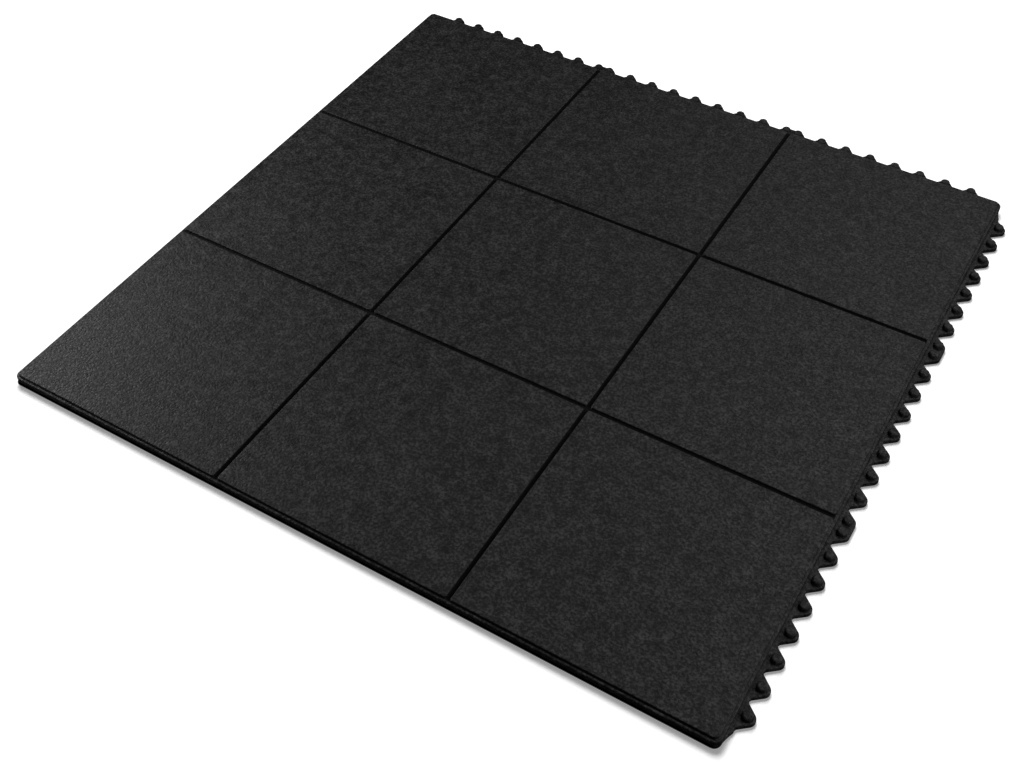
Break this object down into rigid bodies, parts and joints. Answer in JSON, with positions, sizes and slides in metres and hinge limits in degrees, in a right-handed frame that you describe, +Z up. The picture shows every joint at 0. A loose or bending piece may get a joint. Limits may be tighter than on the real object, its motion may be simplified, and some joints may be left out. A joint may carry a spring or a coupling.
{
  "type": "rubber floor tile",
  "caption": "Square black rubber floor tile: raised square pads parted by narrow grooves, scalloped studded tabs on two sides, sockets under the other two.",
  "frame": {"origin": "on the floor under the middle of the square body, the tabs left out", "axes": "+Z up out of the walking surface, +X and +Y square to the two sides with tabs"},
  "size_m": [0.9288, 0.9288, 0.016],
  "materials": {
    "rubber": "matt black moulded rubber with a fine pebbled grain"
  },
  "bodies": {
    "root": {"rubber_tile": "rubber"}
  },
  "joints": []
}
